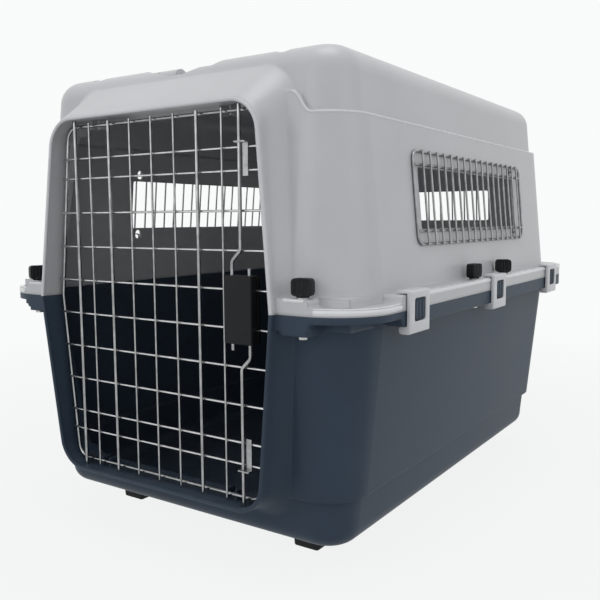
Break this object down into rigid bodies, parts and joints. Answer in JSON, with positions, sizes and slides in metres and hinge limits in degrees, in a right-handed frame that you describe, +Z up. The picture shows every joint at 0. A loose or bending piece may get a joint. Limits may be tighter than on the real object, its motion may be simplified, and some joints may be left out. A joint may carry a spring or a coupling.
{
  "type": "plastic pet kennel",
  "caption": "Two-shell plastic dog kennel with a hinged wire door, wire window grilles, rim clips, wing-nut bolts and fold-flat carry handles.",
  "frame": {"origin": "on the ground plane under the middle of the kennel's outer box", "axes": "door faces -Y, +Y to the rear, +X to the right seen from in front of the door, +Z up"},
  "size_m": [0.6848, 0.916, 0.6935],
  "materials": {
    "light_plastic": "satin moulded",
    "slate_plastic": "satin moulded",
    "clip_plastic": "satin moulded",
    "black_plastic": "satin moulded",
    "foot_rubber": "matt",
    "bright_wire": "bright zinc",
    "plain_steel": "zinc"
  },
  "bodies": {
    "shell": {"top_shell": "light_plastic", "base_shell": "slate_plastic", "grille_frame_right": "bright_wire", "grille_frame_left": "bright_wire", "grille_frame_rear": "bright_wire", "grille_bars_right": "bright_wire", "grille_bars_left": "bright_wire", "grille_bars_rear": "bright_wire", "clip_pins": "plain_steel", "side_bolts": "plain_steel", "end_bolts": "plain_steel", "washers": "plain_steel", "foot_front_right": "foot_rubber", "foot_front_left": "foot_rubber", "foot_rear_right": "foot_rubber", "foot_rear_left": "foot_rubber", "foot_screws": "plain_steel", "handle_pins": "plain_steel"},
    "door": {"door_frame": "bright_wire", "door_cross_wires": "bright_wire", "door_uprights": "bright_wire", "door_stiffeners": "bright_wire", "hinge_rod": "bright_wire", "upper_rod_guide": "bright_wire", "lower_rod_guide": "bright_wire", "latch_housing": "black_plastic", "latch_back_plate": "black_plastic", "latch_screws": "plain_steel", "upper_latch_spring": "plain_steel", "lower_latch_spring": "plain_steel"},
    "upper_rod": {"upper_latch_rod": "bright_wire"},
    "lower_rod": {"lower_latch_rod": "bright_wire"},
    "clip_right_front_body": {"clip_right_front": "clip_plastic"},
    "clip_right_middle_body": {"clip_right_middle": "clip_plastic"},
    "clip_right_rear_body": {"clip_right_rear": "clip_plastic"},
    "clip_left_front_body": {"clip_left_front": "clip_plastic"},
    "clip_left_middle_body": {"clip_left_middle": "clip_plastic"},
    "clip_left_rear_body": {"clip_left_rear": "clip_plastic"},
    "handle_front": {"carry_handle_front": "light_plastic"},
    "handle_rear": {"carry_handle_rear": "light_plastic"},
    "nut_front_right": {"wing_nut_front_right": "black_plastic"},
    "nut_front_left": {"wing_nut_front_left": "black_plastic"},
    "nut_rear_right": {"wing_nut_rear_right": "black_plastic"},
    "nut_rear_left": {"wing_nut_rear_left": "black_plastic"},
    "nut_side_right_front": {"wing_nut_side_right_front": "black_plastic"},
    "nut_side_right_rear": {"wing_nut_side_right_rear": "black_plastic"},
    "nut_side_left_front": {"wing_nut_side_left_front": "black_plastic"},
    "nut_side_left_rear": {"wing_nut_side_left_rear": "black_plastic"}
  },
  "joints": [
    {"name": "door_hinge", "type": "hinge", "parent": "shell", "child": "door", "pos_m": [-0.154, -0.43505, 0.356], "axis": [0, 0, -1], "range_deg": [0, 130]},
    {"name": "upper_rod_throw", "type": "slide", "parent": "door", "child": "upper_rod", "axis": [0, 0, 1], "range_m": [0, 0.007], "deforming": ["upper_latch_spring"]},
    {"name": "lower_rod_throw", "type": "slide", "parent": "door", "child": "lower_rod", "axis": [0, 0, -1], "range_m": [0, 0.007], "deforming": ["lower_latch_spring"]},
    {"name": "clip_right_front_hinge", "type": "hinge", "parent": "shell", "child": "clip_right_front_body", "pos_m": [0.331, -0.3045, 0.3306], "axis": [0, 1, 0], "range_deg": [0, 95]},
    {"name": "clip_right_middle_hinge", "type": "hinge", "parent": "shell", "child": "clip_right_middle_body", "pos_m": [0.331, 0.0045, 0.3306], "axis": [0, 1, 0], "range_deg": [0, 95]},
    {"name": "clip_right_rear_hinge", "type": "hinge", "parent": "shell", "child": "clip_right_rear_body", "pos_m": [0.331, 0.3135, 0.3306], "axis": [0, 1, 0], "range_deg": [0, 95]},
    {"name": "clip_left_front_hinge", "type": "hinge", "parent": "shell", "child": "clip_left_front_body", "pos_m": [-0.331, -0.3045, 0.3306], "axis": [0, -1, 0], "range_deg": [0, 95]},
    {"name": "clip_left_middle_hinge", "type": "hinge", "parent": "shell", "child": "clip_left_middle_body", "pos_m": [-0.331, 0.0045, 0.3306], "axis": [0, -1, 0], "range_deg": [0, 95]},
    {"name": "clip_left_rear_hinge", "type": "hinge", "parent": "shell", "child": "clip_left_rear_body", "pos_m": [-0.331, 0.3135, 0.3306], "axis": [0, -1, 0], "range_deg": [0, 95]},
    {"name": "handle_front_hinge", "type": "hinge", "parent": "shell", "child": "handle_front", "pos_m": [0, -0.332, 0.681], "axis": [1, 0, 0], "range_deg": [0, 100]},
    {"name": "handle_rear_hinge", "type": "hinge", "parent": "shell", "child": "handle_rear", "pos_m": [0, 0.33542, 0.681], "axis": [-1, 0, 0], "range_deg": [0, 100]},
    {"name": "nut_front_right_turn", "type": "hinge", "parent": "shell", "child": "nut_front_right", "pos_m": [0.25, -0.438, 0.389], "axis": [0, 0, 1], "continuous": true},
    {"name": "nut_front_left_turn", "type": "hinge", "parent": "shell", "child": "nut_front_left", "pos_m": [-0.25, -0.438, 0.389], "axis": [0, 0, 1], "continuous": true},
    {"name": "nut_rear_right_turn", "type": "hinge", "parent": "shell", "child": "nut_rear_right", "pos_m": [0.25, 0.447, 0.389], "axis": [0, 0, 1], "continuous": true},
    {"name": "nut_rear_left_turn", "type": "hinge", "parent": "shell", "child": "nut_rear_left", "pos_m": [-0.25, 0.447, 0.389], "axis": [0, 0, 1], "continuous": true},
    {"name": "nut_side_right_front_turn", "type": "hinge", "parent": "shell", "child": "nut_side_right_front", "pos_m": [0.323, -0.0645, 0.389], "axis": [0, 0, 1], "continuous": true},
    {"name": "nut_side_right_rear_turn", "type": "hinge", "parent": "shell", "child": "nut_side_right_rear", "pos_m": [0.323, 0.0735, 0.389], "axis": [0, 0, 1], "continuous": true},
    {"name": "nut_side_left_front_turn", "type": "hinge", "parent": "shell", "child": "nut_side_left_front", "pos_m": [-0.323, -0.0645, 0.389], "axis": [0, 0, 1], "continuous": true},
    {"name": "nut_side_left_rear_turn", "type": "hinge", "parent": "shell", "child": "nut_side_left_rear", "pos_m": [-0.323, 0.0735, 0.389], "axis": [0, 0, 1], "continuous": true}
  ],
  "couplings": [
    {"joint": "lower_rod_throw", "follows": "upper_rod_throw", "ratio": 1}
  ]
}
